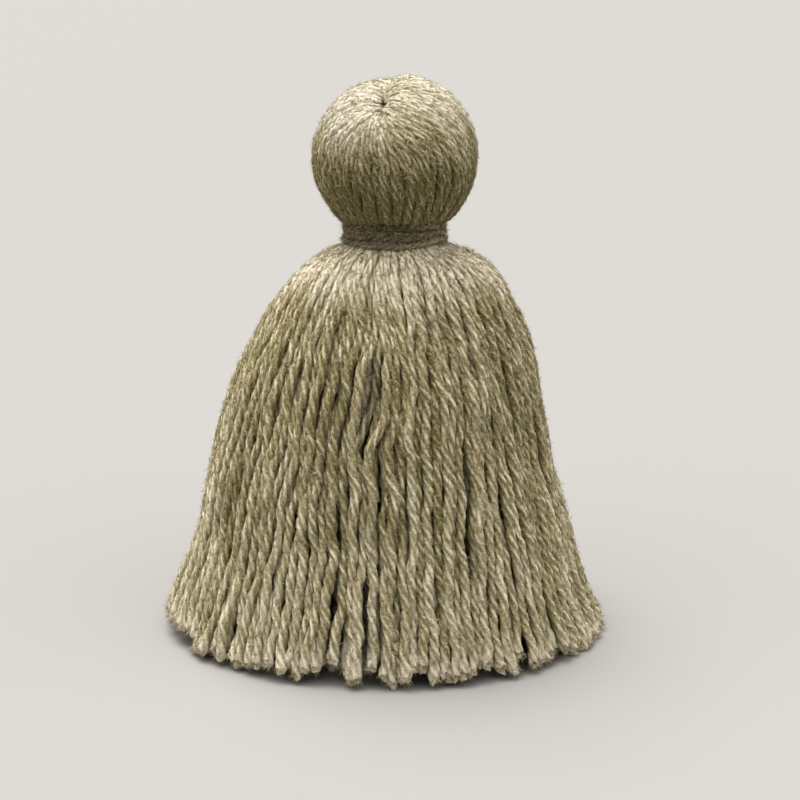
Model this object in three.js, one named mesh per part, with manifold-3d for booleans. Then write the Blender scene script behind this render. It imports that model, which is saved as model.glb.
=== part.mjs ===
// A yarn tassel that stands on the ends of its strands. One hank is folded over and bound under
// the fold, which makes a ball-shaped head, a tight neck and a wide bell of loose strands.
// Millimetres, +Z up, and the front faces -Y. The origin is the middle of the footprint.
import * as THREE from "three";
import { mergeVertices } from "three/addons/utils/BufferGeometryUtils.js";
import Module from "manifold-3d";

const wasm = await Module();
wasm.setup();

// ---------- Driving dimensions ----------

const AXIS_X = 2.3; // the head's axis lies a little right of the footprint's middle
const CLEARANCE = 0.3; // from the binding to the yarn
const NECK_TILT = 1.3; // the binding sits aslant: it is this much higher in front than at the sides

const HEAD = {
  centre: 86, // height of its widest section
  radius: 14.05,
  above: 13.0, // from its widest section up to its top
  below: 15.07, // the same downwards, if the neck did not cut it off
  base: 75.3, // its underside, just above the binding
  lean: 37, // degrees from straight up to the dimple where its strands meet
  leanTurn: -15, // degrees from the front to the dimple
  dimpleDepth: 1.6,
  dimpleSpread: 10, // degrees
  proud: 0.9, // how far the right-hand half lies over the left one along the crease
  ribs: 48,
  ribDepth: 0.4,
};

const BINDING = { bottom: 71, top: 75, innerRadius: 7.8, outerRadius: 8.8, turns: 6, groove: 0.3 };
const NECK_RADIUS = BINDING.innerRadius - CLEARANCE;
const NECK_SLOPE = NECK_TILT / BINDING.outerRadius;

// Half-widths of the skirt from the head's axis, by height.
const SKIRT = [
  { height: 70.5, left: 9.4, right: 9.4, deep: 9.4 },
  { height: 69.2, left: 12.6, right: 13.6, deep: 12.0 },
  { height: 66, left: 16.2, right: 17.6, deep: 14.5 },
  { height: 60, left: 21.4, right: 21.7, deep: 18.0 },
  { height: 50, left: 27.0, right: 25.4, deep: 21.5 },
  { height: 40, left: 31.0, right: 27.1, deep: 23.5 },
  { height: 30, left: 33.7, right: 29.1, deep: 25.0 },
  { height: 20, left: 35.4, right: 31.8, deep: 26.5 },
  { height: 10, left: 39.3, right: 34.3, deep: 28.3 },
  { height: 0, left: 42.7, right: 38.6, deep: 30.0 },
];

// The shoulder is the fused top of the skirt. Its strands come out of its level underside.
const SHOULDER = { levels: [70.5, 69.2, 66, 63.4, 61], ribDepth: 0.8, ribDepthAtNeck: 0.25 };
const NECK_TOP = 78; // the neck's core ends inside the head
const ROOT = 62.4; // the strands start here, inside the shoulder

// The strands lie in rings, from the skirt's face to its middle. Depths are from the face to the
// ring, at the shoulder and at the hem; knees are the heights where a strand bends.
const RINGS = [
  { strands: 60, shoulderDepth: 0.3, hemDepth: 0, start: 0, knees: [57, 49, 28], width: 1.4 },
  { strands: 60, shoulderDepth: 2.1, hemDepth: 1.7, start: 0.5, knees: [57, 49, 28], width: 1.2 },
  { strands: 50, shoulderDepth: 3.9, hemDepth: 3.6, start: 0.2, knees: [50, 28], width: 1.2 },
  { strands: 42, shoulderDepth: 5.8, hemDepth: 6.8, start: 0.6, knees: [40], width: 1.2 },
  { strands: 34, shoulderDepth: 7.7, hemDepth: 11.2, start: 0.1, knees: [40], width: 1.3 },
  { strands: 26, shoulderDepth: 9.6, hemDepth: 16.4, start: 0.8, knees: [], width: 1.3 },
  { strands: 15, shoulderDepth: 11.6, hemDepth: 22, start: 0.4, knees: [], width: 1.4 },
  { strands: 6, shoulderDepth: 14.2, hemDepth: 26.5, start: 0.3, knees: [], width: 1.4 },
];
const FACE_RINGS = 2; // the rings that show on the skirt's face
const BEARING_RING = 2; // every fifth strand of this ring reaches the floor, and so do all inside
const BEARING_EVERY = 5;
const HEM_WIDTH = 1.45;
const CENTRE_TO_FACE = 0.9; // from a strand's centre line to the skirt's face
const STRAND_SIDES = 3;

// Strands of the face stop short of the floor by these heights, by degrees from the front.
const HEM = [
  { turn: -180, lift: 1.2 },
  { turn: -150, lift: 2.6 },
  { turn: -120, lift: 1.4 },
  { turn: -90, lift: 0.9 },
  { turn: -70, lift: 2.0 },
  { turn: -52, lift: 1.8 },
  { turn: -43, lift: 3.0 },
  { turn: -27, lift: 2.8 },
  { turn: -21, lift: 2.0 },
  { turn: -17, lift: 4.2 },
  { turn: -9.5, lift: 0.8 },
  { turn: -3, lift: 3.8 },
  { turn: 1.5, lift: 1.9 },
  { turn: 9, lift: 2.6 },
  { turn: 14, lift: 1.2 },
  { turn: 21, lift: 2.1 },
  { turn: 31.5, lift: 1.0 },
  { turn: 40, lift: 0.6 },
  { turn: 57, lift: 0.9 },
  { turn: 90, lift: 1.6 },
  { turn: 125, lift: 0.8 },
  { turn: 155, lift: 2.4 },
  { turn: 180, lift: 1.2 },
];

// Where the face's strands part: degrees from the front at the parting's head and foot, the
// heights of both, and how wide it opens.
const PARTINGS = [
  { head: -42, foot: -36, top: 61, bottom: 41, gap: 2.0 },
  { head: -22, foot: -22, top: 53, bottom: 45, gap: 1.2 },
  { head: -6, foot: -13, top: 58, bottom: 41, gap: 2.6 },
  { head: 25, foot: 24, top: 57, bottom: 44, gap: 1.0 },
  { head: 31, foot: 24, top: 48, bottom: 4, gap: 2.2 },
  { head: 37, foot: 36, top: 30, bottom: 0, gap: 1.8 },
  { head: -14, foot: -13, top: 24, bottom: -14, gap: 2.0 },
  { head: -72, foot: -70, top: 46, bottom: 8, gap: 2.0 },
  { head: 84, foot: 78, top: 40, bottom: -6, gap: 1.8 },
  { head: 118, foot: 122, top: 56, bottom: 34, gap: 2.4 },
  { head: 151, foot: 149, top: 36, bottom: -10, gap: 2.0 },
  { head: -166, foot: -161, top: 58, bottom: 38, gap: 2.6 },
  { head: -128, foot: -131, top: 42, bottom: 4, gap: 2.2 },
];
const PARTING_REACH = 11; // degrees over which the neighbours give way

// How far strands stray from even spacing, as shares of their pitch, and the hem's raggedness.
const STRAY = 0.12;
const RAGGED = 0.5;
const GOLDEN = 0.6180339887;

// ---------- Small helpers ----------

const radians = THREE.MathUtils.degToRad;
const mix = THREE.MathUtils.lerp;
const fraction = (value) => value - Math.floor(value);
const spread = (index, offset) => 2 * fraction(index * GOLDEN + offset) - 1; // even, from -1 to 1

// The row of a table at a key between its rows, all columns mixed.
function rowAt(table, column, key) {
  const rising = table[0][column] < table[1][column];
  const past = table.findIndex((row) => (rising ? row[column] >= key : row[column] <= key));
  if (past === 0) return table[0];
  if (past === -1) return table[table.length - 1];
  const [before, after] = [table[past - 1], table[past]];
  const share = (key - before[column]) / (after[column] - before[column]);
  return Object.fromEntries(
    Object.keys(before).map((name) => [name, mix(before[name], after[name], share)]),
  );
}

// A point of the skirt, at degrees from the front (positive to the right), under its face.
// Its shoulder follows the neck's tilt.
function skirtPoint(turn, height, depth) {
  const { left, right, deep } = rowAt(SKIRT, "height", height);
  const angle = radians(turn);
  const wide = Math.sin(angle) < 0 ? left : right;
  const raised = NECK_TILT * Math.cos(angle) * THREE.MathUtils.smoothstep(height, 61, 70);
  return new THREE.Vector3(
    AXIS_X + (wide - depth) * Math.sin(angle),
    -(deep - depth) * Math.cos(angle),
    height + raised,
  );
}

// A closed surface through rings of points, listed from the top down, each ring anticlockwise
// when seen from above. A pole, or the ring's own flat fan, closes either end.
function closedSurface(rings, topPole, bottomPole) {
  const points = rings.flat();
  const columns = rings[0].length;
  const faces = [];
  for (let ring = 0; ring + 1 < rings.length; ring++) {
    for (let column = 0; column < columns; column++) {
      const a = ring * columns + column;
      const b = ring * columns + ((column + 1) % columns);
      faces.push(a, a + columns, b + columns, a, b + columns, b);
    }
  }
  const last = (rings.length - 1) * columns;
  const top = points.push(topPole) - 1;
  const bottom = points.push(bottomPole) - 1;
  for (let column = 0; column < columns; column++) {
    const next = (column + 1) % columns;
    faces.push(top, column, next, bottom, last + next, last + column);
  }
  return new THREE.BufferGeometry().setFromPoints(points).setIndex(faces);
}

function solidOf(geometry) {
  const merged = mergeVertices(geometry, 1e-4);
  return new wasm.Manifold(
    new wasm.Mesh({
      numProp: 3,
      vertProperties: merged.attributes.position.array,
      triVerts: new Uint32Array(merged.index.array),
    }),
  );
}

function geometryOf(solid) {
  const mesh = solid.getMesh();
  const geometry = new THREE.BufferGeometry();
  geometry.setAttribute("position", new THREE.BufferAttribute(mesh.vertProperties, 3));
  geometry.setIndex(new THREE.BufferAttribute(mesh.triVerts, 1));
  geometry.computeVertexNormals();
  return geometry;
}

// ---------- Head ----------

// The head is a ball whose ribs run from a dimple at its upper front down to its flat base. The
// right-hand half lies a little proud, so a crease runs back from the dimple.
function headPoint(turn, fall, baseFall, rib) {
  const settled = THREE.MathUtils.smoothstep(fall, 0, baseFall);
  const leanTurn = radians(HEAD.leanTurn);
  const leanAxis = new THREE.Vector3(Math.cos(leanTurn), Math.sin(leanTurn), 0);
  const direction = new THREE.Vector3(0, -Math.sin(fall), Math.cos(fall));
  direction.applyAxisAngle(new THREE.Vector3(0, 0, 1), turn);
  direction.applyAxisAngle(leanAxis, radians(HEAD.lean) * (1 - settled));
  const dimple = HEAD.dimpleDepth * Math.exp(-((fall / radians(HEAD.dimpleSpread)) ** 2));
  const off = THREE.MathUtils.euclideanModulo(turn - leanTurn, 2 * Math.PI);
  const lap = off < Math.PI ? THREE.MathUtils.smoothstep(off, 0, 2) : 0;
  const proud = HEAD.proud * lap * Math.exp(-((fall / radians(60)) ** 2));
  const size = 1 - (dimple + rib + HEAD.proud / 2 - proud) / HEAD.radius;
  const half = direction.z > 0 ? HEAD.above : HEAD.below;
  direction.multiply(new THREE.Vector3(HEAD.radius, HEAD.radius, half)).multiplyScalar(size);
  return direction.add(new THREE.Vector3(AXIS_X, 0, HEAD.centre));
}

function head() {
  const rows = [0.07, 0.15, 0.26, 0.38, 0.5, 0.61, 0.71, 0.81, 0.91, 1];
  const columns = 2 * HEAD.ribs;
  const rings = rows.map((row) =>
    Array.from({ length: columns }, (_, column) => {
      const turn = (column / columns) * 2 * Math.PI;
      const base = HEAD.base + NECK_TILT * Math.cos(turn);
      const baseFall = Math.PI - Math.acos((HEAD.centre - base) / HEAD.below);
      const groove = (column % 2) * HEAD.ribDepth * Math.min(1, row / rows[2]);
      return headPoint(turn, row * baseFall, baseFall, groove);
    }),
  );
  rings[rings.length - 1].forEach((point) => point.setZ(HEAD.base - NECK_SLOPE * point.y));
  const pole = headPoint(0, 0, Math.PI, 0);
  return closedSurface(rings, pole, new THREE.Vector3(AXIS_X, 0, HEAD.base));
}

// ---------- Skirt ----------

// Where a strand of a ring stands by its number, in degrees from the front.
function strandTurn(ring, number) {
  const { strands, start } = RINGS[ring];
  return ((number + start + STRAY * spread(number, start)) * 360) / strands;
}

// The partings push the strands on either side apart, most at half their height.
function partedTurn(turn, height) {
  let pushed = turn;
  for (const { head, foot, top, bottom, gap } of PARTINGS) {
    const fall = (top - height) / (top - bottom);
    const inside = THREE.MathUtils.clamp(fall, 0, 1);
    const middle = (head + foot) / 2;
    const off = THREE.MathUtils.euclideanModulo(turn - middle + 180, 360) - 180;
    const wide = rowAt(SKIRT, "height", height).deep;
    const opening = THREE.MathUtils.radToDeg(gap / 2 / wide) * Math.sin(Math.PI * inside);
    const bounds =
      THREE.MathUtils.smoothstep(fall, -0.6, 0) * (1 - THREE.MathUtils.smoothstep(fall, 1, 1.6));
    const slant = (mix(head, foot, inside) - middle) * bounds;
    pushed += Math.exp(-Math.abs(off) / PARTING_REACH) * (Math.sign(off) * opening + slant);
  }
  return pushed;
}

function strandLift(ring, number, turn) {
  if (ring > BEARING_RING) return 0;
  const ragged = RAGGED * (1 + spread(number, 0.37));
  if (ring === BEARING_RING) return number % BEARING_EVERY === 0 ? 0 : RAGGED + ragged;
  const around = THREE.MathUtils.euclideanModulo(turn + 180, 360) - 180;
  return rowAt(HEM, "turn", around).lift + ragged / 2;
}

function strand(ring, number) {
  const { shoulderDepth, hemDepth, knees, width } = RINGS[ring];
  const turn = strandTurn(ring, number);
  const outward = radians(turn);
  const heights = [ROOT, ...knees, strandLift(ring, number, turn)];
  const sections = heights.map((height) => {
    const fall = 1 - height / ROOT;
    const depth = CENTRE_TO_FACE + mix(shoulderDepth, hemDepth, fall);
    const parted = ring < FACE_RINGS ? partedTurn(turn, height) : turn;
    const centre = skirtPoint(parted, height, depth);
    const reach = mix(width, HEM_WIDTH, fall) / Math.sqrt(STRAND_SIDES);
    return Array.from({ length: STRAND_SIDES }, (_, corner) => {
      const angle = outward + (corner * 2 * Math.PI) / STRAND_SIDES;
      const arm = new THREE.Vector3(Math.sin(angle), -Math.cos(angle), 0);
      return arm.multiplyScalar(reach).add(centre);
    });
  });
  const ends = [sections[0], sections[sections.length - 1]].map((section) =>
    section.reduce((sum, point) => sum.add(point), new THREE.Vector3()).divideScalar(STRAND_SIDES),
  );
  return closedSurface(sections, ends[0], ends[1]);
}

// The neck's core and the ribbed shoulder, with one rib over each strand of the outer ring.
function neckAndShoulder() {
  const outer = RINGS[0].strands;
  const turns = [];
  for (let number = 0; number < outer; number++) {
    const here = strandTurn(0, number);
    const next = number + 1 < outer ? strandTurn(0, number + 1) : strandTurn(0, 0) + 360;
    turns.push(here, (here + next) / 2);
  }
  const neckRing = (height) =>
    turns.map((turn) => {
      const angle = radians(turn);
      const across = NECK_RADIUS * Math.sin(angle);
      const front = NECK_RADIUS * Math.cos(angle);
      return new THREE.Vector3(AXIS_X + across, -front, height + NECK_SLOPE * front);
    });
  const shoulderRings = SHOULDER.levels.map((height, level) =>
    turns.map((turn, column) => {
      const groove = level === 0 ? SHOULDER.ribDepthAtNeck : SHOULDER.ribDepth;
      return skirtPoint(turn, height, (column % 2) * groove);
    }),
  );
  const seat = SHOULDER.levels[0] + CLEARANCE / 2;
  const rings = [neckRing(NECK_TOP), neckRing(seat), ...shoulderRings];
  const underside = SHOULDER.levels[SHOULDER.levels.length - 1];
  const top = new THREE.Vector3(AXIS_X, 0, NECK_TOP);
  return closedSurface(rings, top, new THREE.Vector3(AXIS_X, 0, underside));
}

function yarnHank() {
  const pieces = [head(), neckAndShoulder()];
  RINGS.forEach(({ strands }, ring) => {
    for (let number = 0; number < strands; number++) pieces.push(strand(ring, number));
  });
  return geometryOf(wasm.Manifold.union(pieces.map(solidOf)));
}

// ---------- Binding ----------

// A few close turns of thread, as one ring with a groove between turn and turn.
function neckBinding() {
  const { bottom, top, innerRadius, outerRadius, turns, groove } = BINDING;
  const profile = [new THREE.Vector2(innerRadius, bottom)];
  for (let step = 0; step <= 2 * turns; step++) {
    const radius = step % 2 ? outerRadius : outerRadius - groove;
    profile.push(new THREE.Vector2(radius, mix(bottom, top, step / (2 * turns))));
  }
  profile.push(new THREE.Vector2(innerRadius, top), profile[0].clone());
  const sides = 36;
  const aslant = new THREE.Matrix4().makeShear(0, 0, 0, -NECK_SLOPE, 0, 0);
  const ring = new THREE.LatheGeometry(profile, sides).rotateX(Math.PI / 2);
  return ring.applyMatrix4(aslant).translate(AXIS_X, 0, 0);
}

// ---------- Assembly ----------

const yarn = new THREE.MeshStandardMaterial({ color: "#857a5a", roughness: 0.95, metalness: 0 });
const thread = new THREE.MeshStandardMaterial({ color: "#6a6144", roughness: 0.95, metalness: 0 });

const hank = new THREE.Mesh(yarnHank(), yarn);
hank.name = "yarn_hank";
const binding = new THREE.Mesh(neckBinding(), thread);
binding.name = "neck_binding";

const tassel = new THREE.Group();
tassel.add(hank, binding);
export default tassel;
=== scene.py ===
import math

import bpy
import numpy as np
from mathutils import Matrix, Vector


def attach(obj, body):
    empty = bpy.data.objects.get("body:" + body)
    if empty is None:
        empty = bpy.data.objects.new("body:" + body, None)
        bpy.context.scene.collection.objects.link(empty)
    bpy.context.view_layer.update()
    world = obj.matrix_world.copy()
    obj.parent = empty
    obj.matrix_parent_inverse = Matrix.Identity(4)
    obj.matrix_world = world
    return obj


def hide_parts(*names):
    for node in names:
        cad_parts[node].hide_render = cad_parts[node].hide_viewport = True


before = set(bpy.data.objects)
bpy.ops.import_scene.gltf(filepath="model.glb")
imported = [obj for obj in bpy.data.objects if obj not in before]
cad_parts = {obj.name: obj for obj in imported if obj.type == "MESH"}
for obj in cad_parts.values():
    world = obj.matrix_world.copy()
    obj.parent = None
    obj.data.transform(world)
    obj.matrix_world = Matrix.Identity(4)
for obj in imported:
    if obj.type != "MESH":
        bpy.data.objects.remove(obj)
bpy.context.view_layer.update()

bpy.ops.object.select_all(action="DESELECT")

# ---------------------------------------------------------------------------
# The studio
# A plain pale tabletop, a broad soft lamp high behind the tassel, so that its head and shoulder
# catch the light and its shade falls forwards, and a weaker broad lamp on either side.
# ---------------------------------------------------------------------------

MM = 0.001  # metres
TABLETOP_WIDTH = 8.0  # metres

# Where the view looks from and at, in mm, and its lens.
VIEW_ANGLE = math.radians(18)  # downwards from level
VIEW_DISTANCE = 340
VIEW_AIM = (3.2, 0.0, 42.4)
VIEW_LENS = 86.76

# Degrees round from the front, above the table and across, and strength.
LAMPS = {
    "light_overhead": (-140, 76, 40, 3.0),
    "light_left": (-65, 55, 60, 1.13),
    "light_right": (65, 52, 60, 1.1),
}
LAMP_COLOUR = (1.0, 0.98, 0.95)
AIR_COLOUR = (0.97, 0.98, 1.0, 1.0)
AIR_STRENGTH = 0.37


class Shade:
    """A shader socket that takes part in sums, so that node maths reads as a formula."""

    def __init__(self, tree, socket=None):
        self.tree = tree
        self.socket = socket

    def node(self, kind, settings=None, sockets=None, output=0):
        """Adds a node, sets it up, feeds its sockets by name or number, and gives an output."""
        made = self.tree.nodes.new(kind)
        for name, value in (settings or {}).items():
            if name == "stops":
                for place, (position, colour) in enumerate(value):
                    ramp = made.color_ramp.elements
                    stop = ramp[place] if place < len(ramp) else ramp.new(position)
                    stop.position = position
                    stop.color = colour
            else:
                setattr(made, name, value)
        for name, value in (sockets or {}).items():
            if isinstance(value, Shade):
                self.tree.links.new(value.socket, made.inputs[name])
            else:
                made.inputs[name].default_value = value
        return Shade(self.tree, made.outputs[output]) if made.outputs else made

    def maths(self, operation, *values):
        settings = {"operation": operation}
        return self.node("ShaderNodeMath", settings, dict(enumerate(values)))

    def clamped(self):
        return self.node("ShaderNodeClamp", None, {"Value": self})

    def noise(self, place, scale, detail):
        sockets = {"Vector": place, "Scale": scale, "Detail": detail}
        return self.node("ShaderNodeTexNoise", None, sockets)

    def blend(self, share, first, second):
        """A colour between two, by share. A Mix node's colours are its sockets 6 and 7."""
        sockets = {0: share, 6: first, 7: second}
        return self.node("ShaderNodeMix", {"data_type": "RGBA"}, sockets, output=2)

    def __add__(self, other):
        return self.maths("ADD", self, other)

    def __radd__(self, other):
        return self.maths("ADD", other, self)

    def __sub__(self, other):
        return self.maths("SUBTRACT", self, other)

    def __rsub__(self, other):
        return self.maths("SUBTRACT", other, self)

    def __mul__(self, other):
        return self.maths("MULTIPLY", self, other)

    def __rmul__(self, other):
        return self.maths("MULTIPLY", other, self)


def new_material(name):
    """An empty material and the shade that its nodes start from."""
    material = bpy.data.materials.new(name)
    material.use_nodes = True
    material.node_tree.nodes.clear()
    return material, Shade(material.node_tree)


def tabletop_material():
    material, shade = new_material("pale_tabletop")
    surface = shade.node(
        "ShaderNodeBsdfPrincipled",
        None,
        {"Base Color": (0.325, 0.318, 0.308, 1.0), "Roughness": 0.8},
    )
    shade.node("ShaderNodeOutputMaterial", None, {"Surface": surface})
    return material


def far_lamp(name, turn, rise, width, strength):
    """A big far lamp, aimed at the tassel from its place in the sky."""
    turn, rise = math.radians(turn), math.radians(rise)
    level = math.cos(rise)
    towards = Vector((level * math.sin(turn), -level * math.cos(turn), math.sin(rise)))
    bpy.ops.object.light_add(type="SUN")
    made = bpy.context.object
    made.name = name
    made.rotation_euler = towards.to_track_quat("Z", "Y").to_euler()
    made.data.angle = math.radians(width)
    made.data.energy = strength
    made.data.color = LAMP_COLOUR


bpy.ops.mesh.primitive_plane_add(size=TABLETOP_WIDTH)
tabletop = bpy.context.object
tabletop.name = "tabletop"
tabletop.data.materials.append(tabletop_material())

bpy.ops.object.camera_add()
camera = bpy.context.object
camera.name = "view"
camera.location = (
    VIEW_AIM[0] * MM,
    (VIEW_AIM[1] - VIEW_DISTANCE * math.cos(VIEW_ANGLE)) * MM,
    (VIEW_AIM[2] + VIEW_DISTANCE * math.sin(VIEW_ANGLE)) * MM,
)
camera.rotation_euler = (math.pi / 2 - VIEW_ANGLE, 0, 0)
camera.data.sensor_width = 36
camera.data.lens = VIEW_LENS
camera.data.clip_start = 0.01
camera.data.clip_end = 20
bpy.context.scene.camera = camera

for name, lamp in LAMPS.items():
    far_lamp(name, *lamp)
air = bpy.data.worlds.new("studio_air")
air.use_nodes = True
air.node_tree.nodes["Background"].inputs["Color"].default_value = AIR_COLOUR
air.node_tree.nodes["Background"].inputs["Strength"].default_value = AIR_STRENGTH
bpy.context.scene.world = air
bpy.context.scene.view_settings.view_transform = "Standard"
bpy.context.scene.view_settings.look = "Medium High Contrast"

# ---------------------------------------------------------------------------
# The head
# The fold of the hank: strands of four-ply wool that meet in a dimple at the upper front,
# run down over a ball of the same yarn and go under the binding. The right-hand strands
# start from a crease that runs back from the dimple, and lie a little proud of the others.
# ---------------------------------------------------------------------------

# The ball, in mm. A strand's place on it is its turn from the front and its fall from the dimple.
AXIS_X = 2.3  # the head's axis lies a little right of the footprint's middle
HEAD_CENTRE = 86  # height of its widest section
HEAD_RADIUS = 14.05
HEAD_ABOVE = 13.0  # from its widest section up to its top
HEAD_BELOW = 15.07  # and down to where it would close without a neck
HEAD_BASE = 75.0
NECK_TILT = 1.3  # the neck is this much higher in front than at the sides
NECK_RADIUS = 7.4
HEAD_LEAN = math.radians(42.0)  # from straight up to the dimple
LEAN_TURN = math.radians(-15)  # from the front to the dimple
DIMPLE_DEPTH = 1.6
DIMPLE_SPREAD = math.radians(9)

# The crease: how much of the lean the strands behind it take back, on its right and its left.
CREASE_RIGHT = 1.35
CREASE_LEFT = 0.95
CREASE_TILT = math.radians(8)
CREASE_PROUD = 0.9
CREASE_FADE = math.radians(60)

# The strands over the ball, and how they stray from an even lay, in radians and mm.
HEAD_STRANDS = 88
HEAD_STEPS = 68
HEAD_INSET = 0.66  # from the ball's face to a strand's centre line
HEAD_PITCH = 9.0
FIRST_FALLS = np.array([0, 6, 12])  # degrees from the dimple at which strands start, by turns
FALL_STRAY = 5
TURN_STRAY = 0.025
LAYER_STRAY = 0.4
DEPTH_RIPPLE = (0.14, 5)  # how large, and how many radians of it for one of fall
SLOW_SWAY = (math.radians(1.6), 3.1)
QUICK_SWAY = (math.radians(0.9), 9.0)
PLUNGE = 0.3
PLUNGE_SPREAD = math.radians(5)

# A strand's radius where it starts, how much of it swells over the top and is pinched again at
# the neck, and the falls from the dimple at which each change starts, with how long it takes.
DIMPLE_THICK = 0.54
TOP_SWELL = 0.25
SWELLS = (0, math.radians(50))
NECK_PINCH = 0.25
PINCHED = (math.radians(95), math.radians(40))

# Where strands go on into the neck: shares of the way inwards, and how far down.
NECK_STEPS = ((0.4, 0.4), (0.8, 1.0), (1.0, 1.9))

# Light and dark of the head's strands: each its own, with painted shade below and painted light
# above, and a patch of painted shade and one of painted light beside the dimple, given by their
# turns from it, their spread and their tone.
OWN_TONE = 0.45
HEAD_PAINTED_SHADE = -1.35
HEAD_PAINTED_LIGHT = 3.2
HEAD_PAINTED_SPAN = (80.5, 16.5)  # the height where it starts, and over how many mm
DIMPLE_PAINTED_PATCHES = ((0.85, 0.6, -0.9), (5.2, 0.7, 0.5))
PATCH_NEAR = (0, 0.25)
PATCH_FAR = (1.5, -0.8)

# The yarn: its plies, the length of one turn of them, how uneven its surface is as a share of
# its radius, how much its twist wanders, and how much plies differ in tone.
PLIES = 4
TWIST_PITCH = 10.6
FLUFF = 0.07
TWIST_WANDER = 0.5
WANDER_LENGTH = 6.1
MARL = 0.3
CAP_BULGE = 0.2
CUT_SHARES = np.array([0.4, 0.7, 0.9, 1.0])  # how much of an uneven cut each last step takes
chance = np.random.default_rng(31)


def ply_section(points, groove):
    """Angles and radii round a strand of yarn: a lobe for each ply, a groove between two."""
    angles = np.arange(points) * 2 * math.pi / points
    off = angles % (2 * math.pi / PLIES) - math.pi / PLIES
    ply = 1 / (1 + math.sqrt(2))
    middle = 1 - ply
    lobe = np.sqrt(np.maximum(ply**2 - (middle * np.sin(off)) ** 2, 0))
    return angles, np.maximum(middle * np.cos(off) + lobe, groove)


def unit(vectors):
    return vectors / np.linalg.norm(vectors, axis=-1, keepdims=True)


def spin_yarn(lay, tone, section, pitch=TWIST_PITCH, ragged=0.0, marl=0.0):
    """Yarn along a lay's routes (strand, step, xyz), with its plies twisted to the left."""
    routes, across, thick = lay
    angles, radii = section
    strands, steps, columns = routes.shape[0], routes.shape[1], len(angles)
    along = unit(np.gradient(routes, axis=1))
    across = unit(across - (across * along).sum(-1, keepdims=True) * along)
    out = np.cross(along, across)
    run = np.zeros((strands, steps))
    run[:, 1:] = np.cumsum(np.linalg.norm(np.diff(routes, axis=1), axis=-1), axis=1)
    start = chance.uniform(0, 2 * math.pi, (2, strands, 1))
    own_pitch = pitch * (1 + chance.normal(0, 0.1, (strands, 1)))
    wander = TWIST_WANDER * np.sin(run / WANDER_LENGTH + start[1])
    twist = start[0] - 2 * math.pi * run / own_pitch + wander
    turn = twist[:, :, None] + angles
    reach = thick[:, :, None] * radii * (1 + chance.normal(0, FLUFF, turn.shape))
    points = (
        routes[:, :, None]
        + (reach * np.cos(turn))[..., None] * across[:, :, None]
        + (reach * np.sin(turn))[..., None] * out[:, :, None]
    )
    if ragged:
        cut = chance.uniform(-ragged, ragged, (strands, 1, PLIES)).repeat(columns // PLIES, 2)
        cut = cut * CUT_SHARES[None, :, None]
        last_steps = slice(-len(CUT_SHARES), None)
        points[:, last_steps] += cut[..., None] * along[:, last_steps, None]
    caps = np.stack([routes[:, 0], routes[:, -1] + CAP_BULGE * thick[:, -1:] * along[:, -1]], 1)
    points = np.concatenate([points.reshape(strands, -1, 3), caps], 1)
    points[..., 2] = np.maximum(points[..., 2], 0)

    step, column = np.meshgrid(np.arange(steps - 1), np.arange(columns), indexing="ij")
    after = (column + 1) % columns
    quads = np.stack(
        [
            step * columns + column,
            step * columns + after,
            (step + 1) * columns + after,
            (step + 1) * columns + column,
        ],
        -1,
    ).reshape(-1, 4)
    ring = np.arange(columns)
    last = (steps - 1) * columns
    first_cap, last_cap = steps * columns, steps * columns + 1
    ends = np.concatenate(
        [
            np.stack([ring * 0 + first_cap, np.roll(ring, -1), ring], -1),
            np.stack([ring * 0 + last_cap, last + ring, last + np.roll(ring, -1)], -1),
        ]
    )
    base = (np.arange(strands) * points.shape[1])[:, None, None]
    around = np.stack([column, column + 1, column + 1, column], -1) / columns
    down = np.stack([run[:, step], run[:, step], run[:, step + 1], run[:, step + 1]], -1)
    quad_uv = np.stack([np.broadcast_to(around, down.shape), down], -1).reshape(-1, 2)
    end_uv = np.zeros((strands, 2 * columns, 3, 2))
    end_uv[..., 0] = np.concatenate([ring, ring])[None, :, None] / columns
    end_uv[:, columns:, :, 1] = run[:, -1][:, None, None]
    own = chance.uniform(-marl, marl, (strands, PLIES)).repeat(math.ceil(columns / PLIES), 1)
    shades = tone[:, :, None] + own[:, None, :columns]
    shades = shades.reshape(strands, -1)
    shades = np.concatenate([shades, shades[:, :1], shades[:, -1:]], 1)
    front = np.concatenate([np.sin(turn).reshape(strands, -1), np.zeros((strands, 2))], 1)
    return {
        "points": points.reshape(-1, 3),
        "quads": (base + quads).reshape(-1, 4),
        "ends": (base + ends).reshape(-1, 3),
        "uv": np.concatenate([quad_uv, end_uv.reshape(-1, 2)]),
        "tone": shades.ravel(),
        "front": front.ravel(),
    }


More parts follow.
